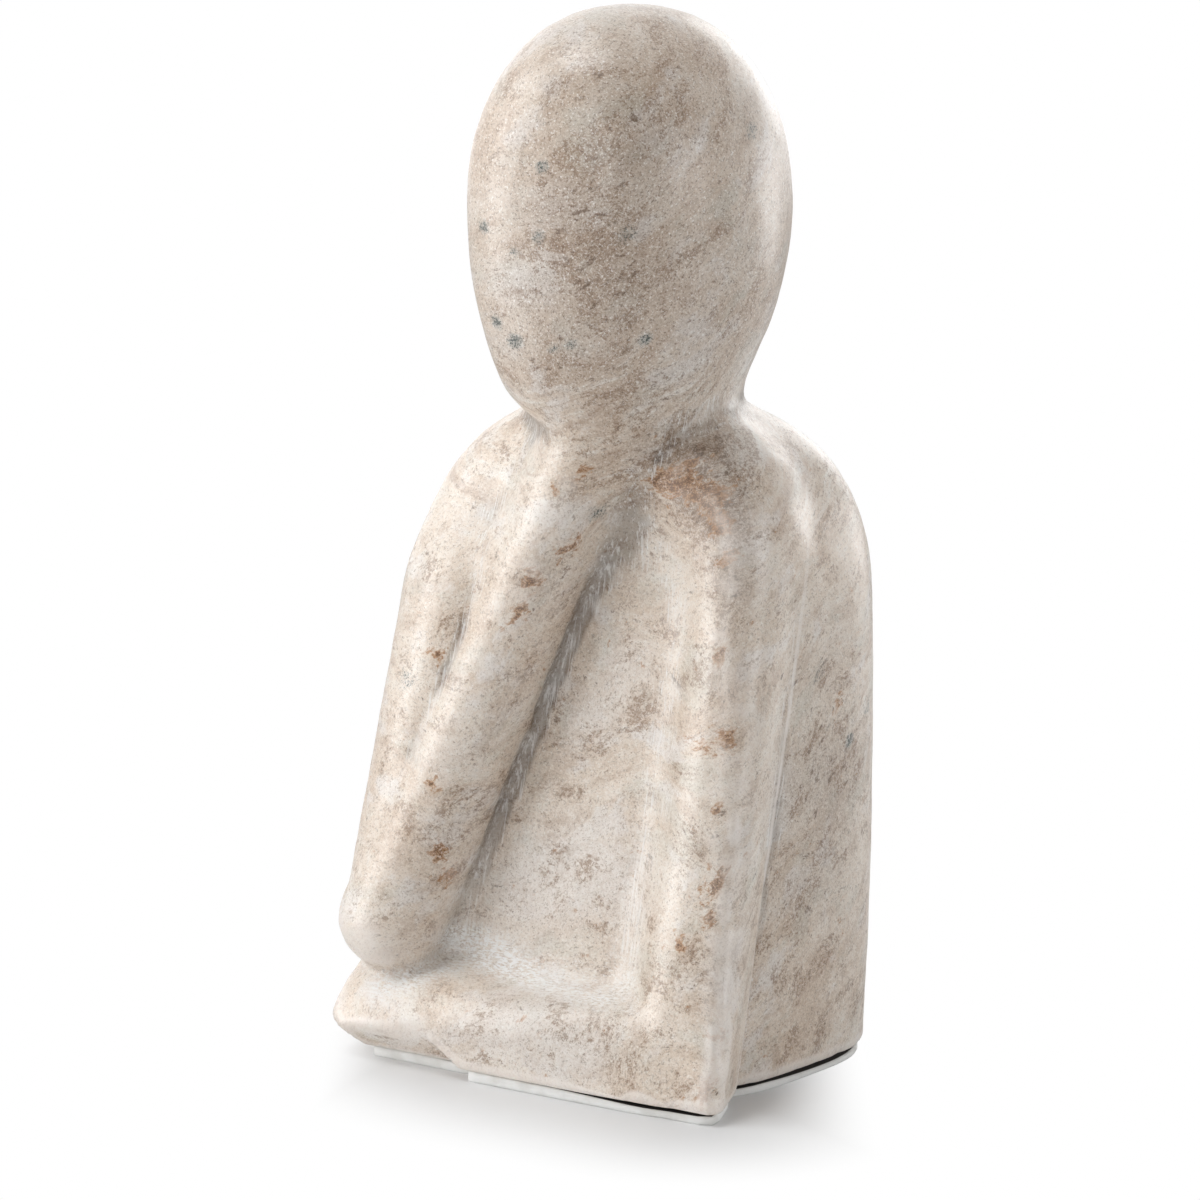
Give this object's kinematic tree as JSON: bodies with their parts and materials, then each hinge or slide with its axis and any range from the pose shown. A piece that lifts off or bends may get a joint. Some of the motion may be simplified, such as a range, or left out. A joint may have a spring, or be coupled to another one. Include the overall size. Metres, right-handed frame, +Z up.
{
  "type": "stone figure sculpture",
  "caption": "Seated thinking figure with a blank egg-shaped head, one forearm raised to the chin, carved from one block of veined marble on a thin foam pad.",
  "frame": {"origin": "centre of the bounding box's underside, on the surface that the pad rests on", "axes": "+Z up through the head, -Y towards the front of the figure, +X on the side of its lowered arm"},
  "size_m": [0.1188, 0.0948, 0.2505],
  "materials": {
    "marble": "honed natural marble with a satin sheen",
    "foam": "matt white closed-cell foam",
    "adhesive": "dull adhesive film"
  },
  "bodies": {
    "root": {"stone_figure": "marble", "adhesive_film": "adhesive", "base_pad": "foam"}
  },
  "joints": []
}
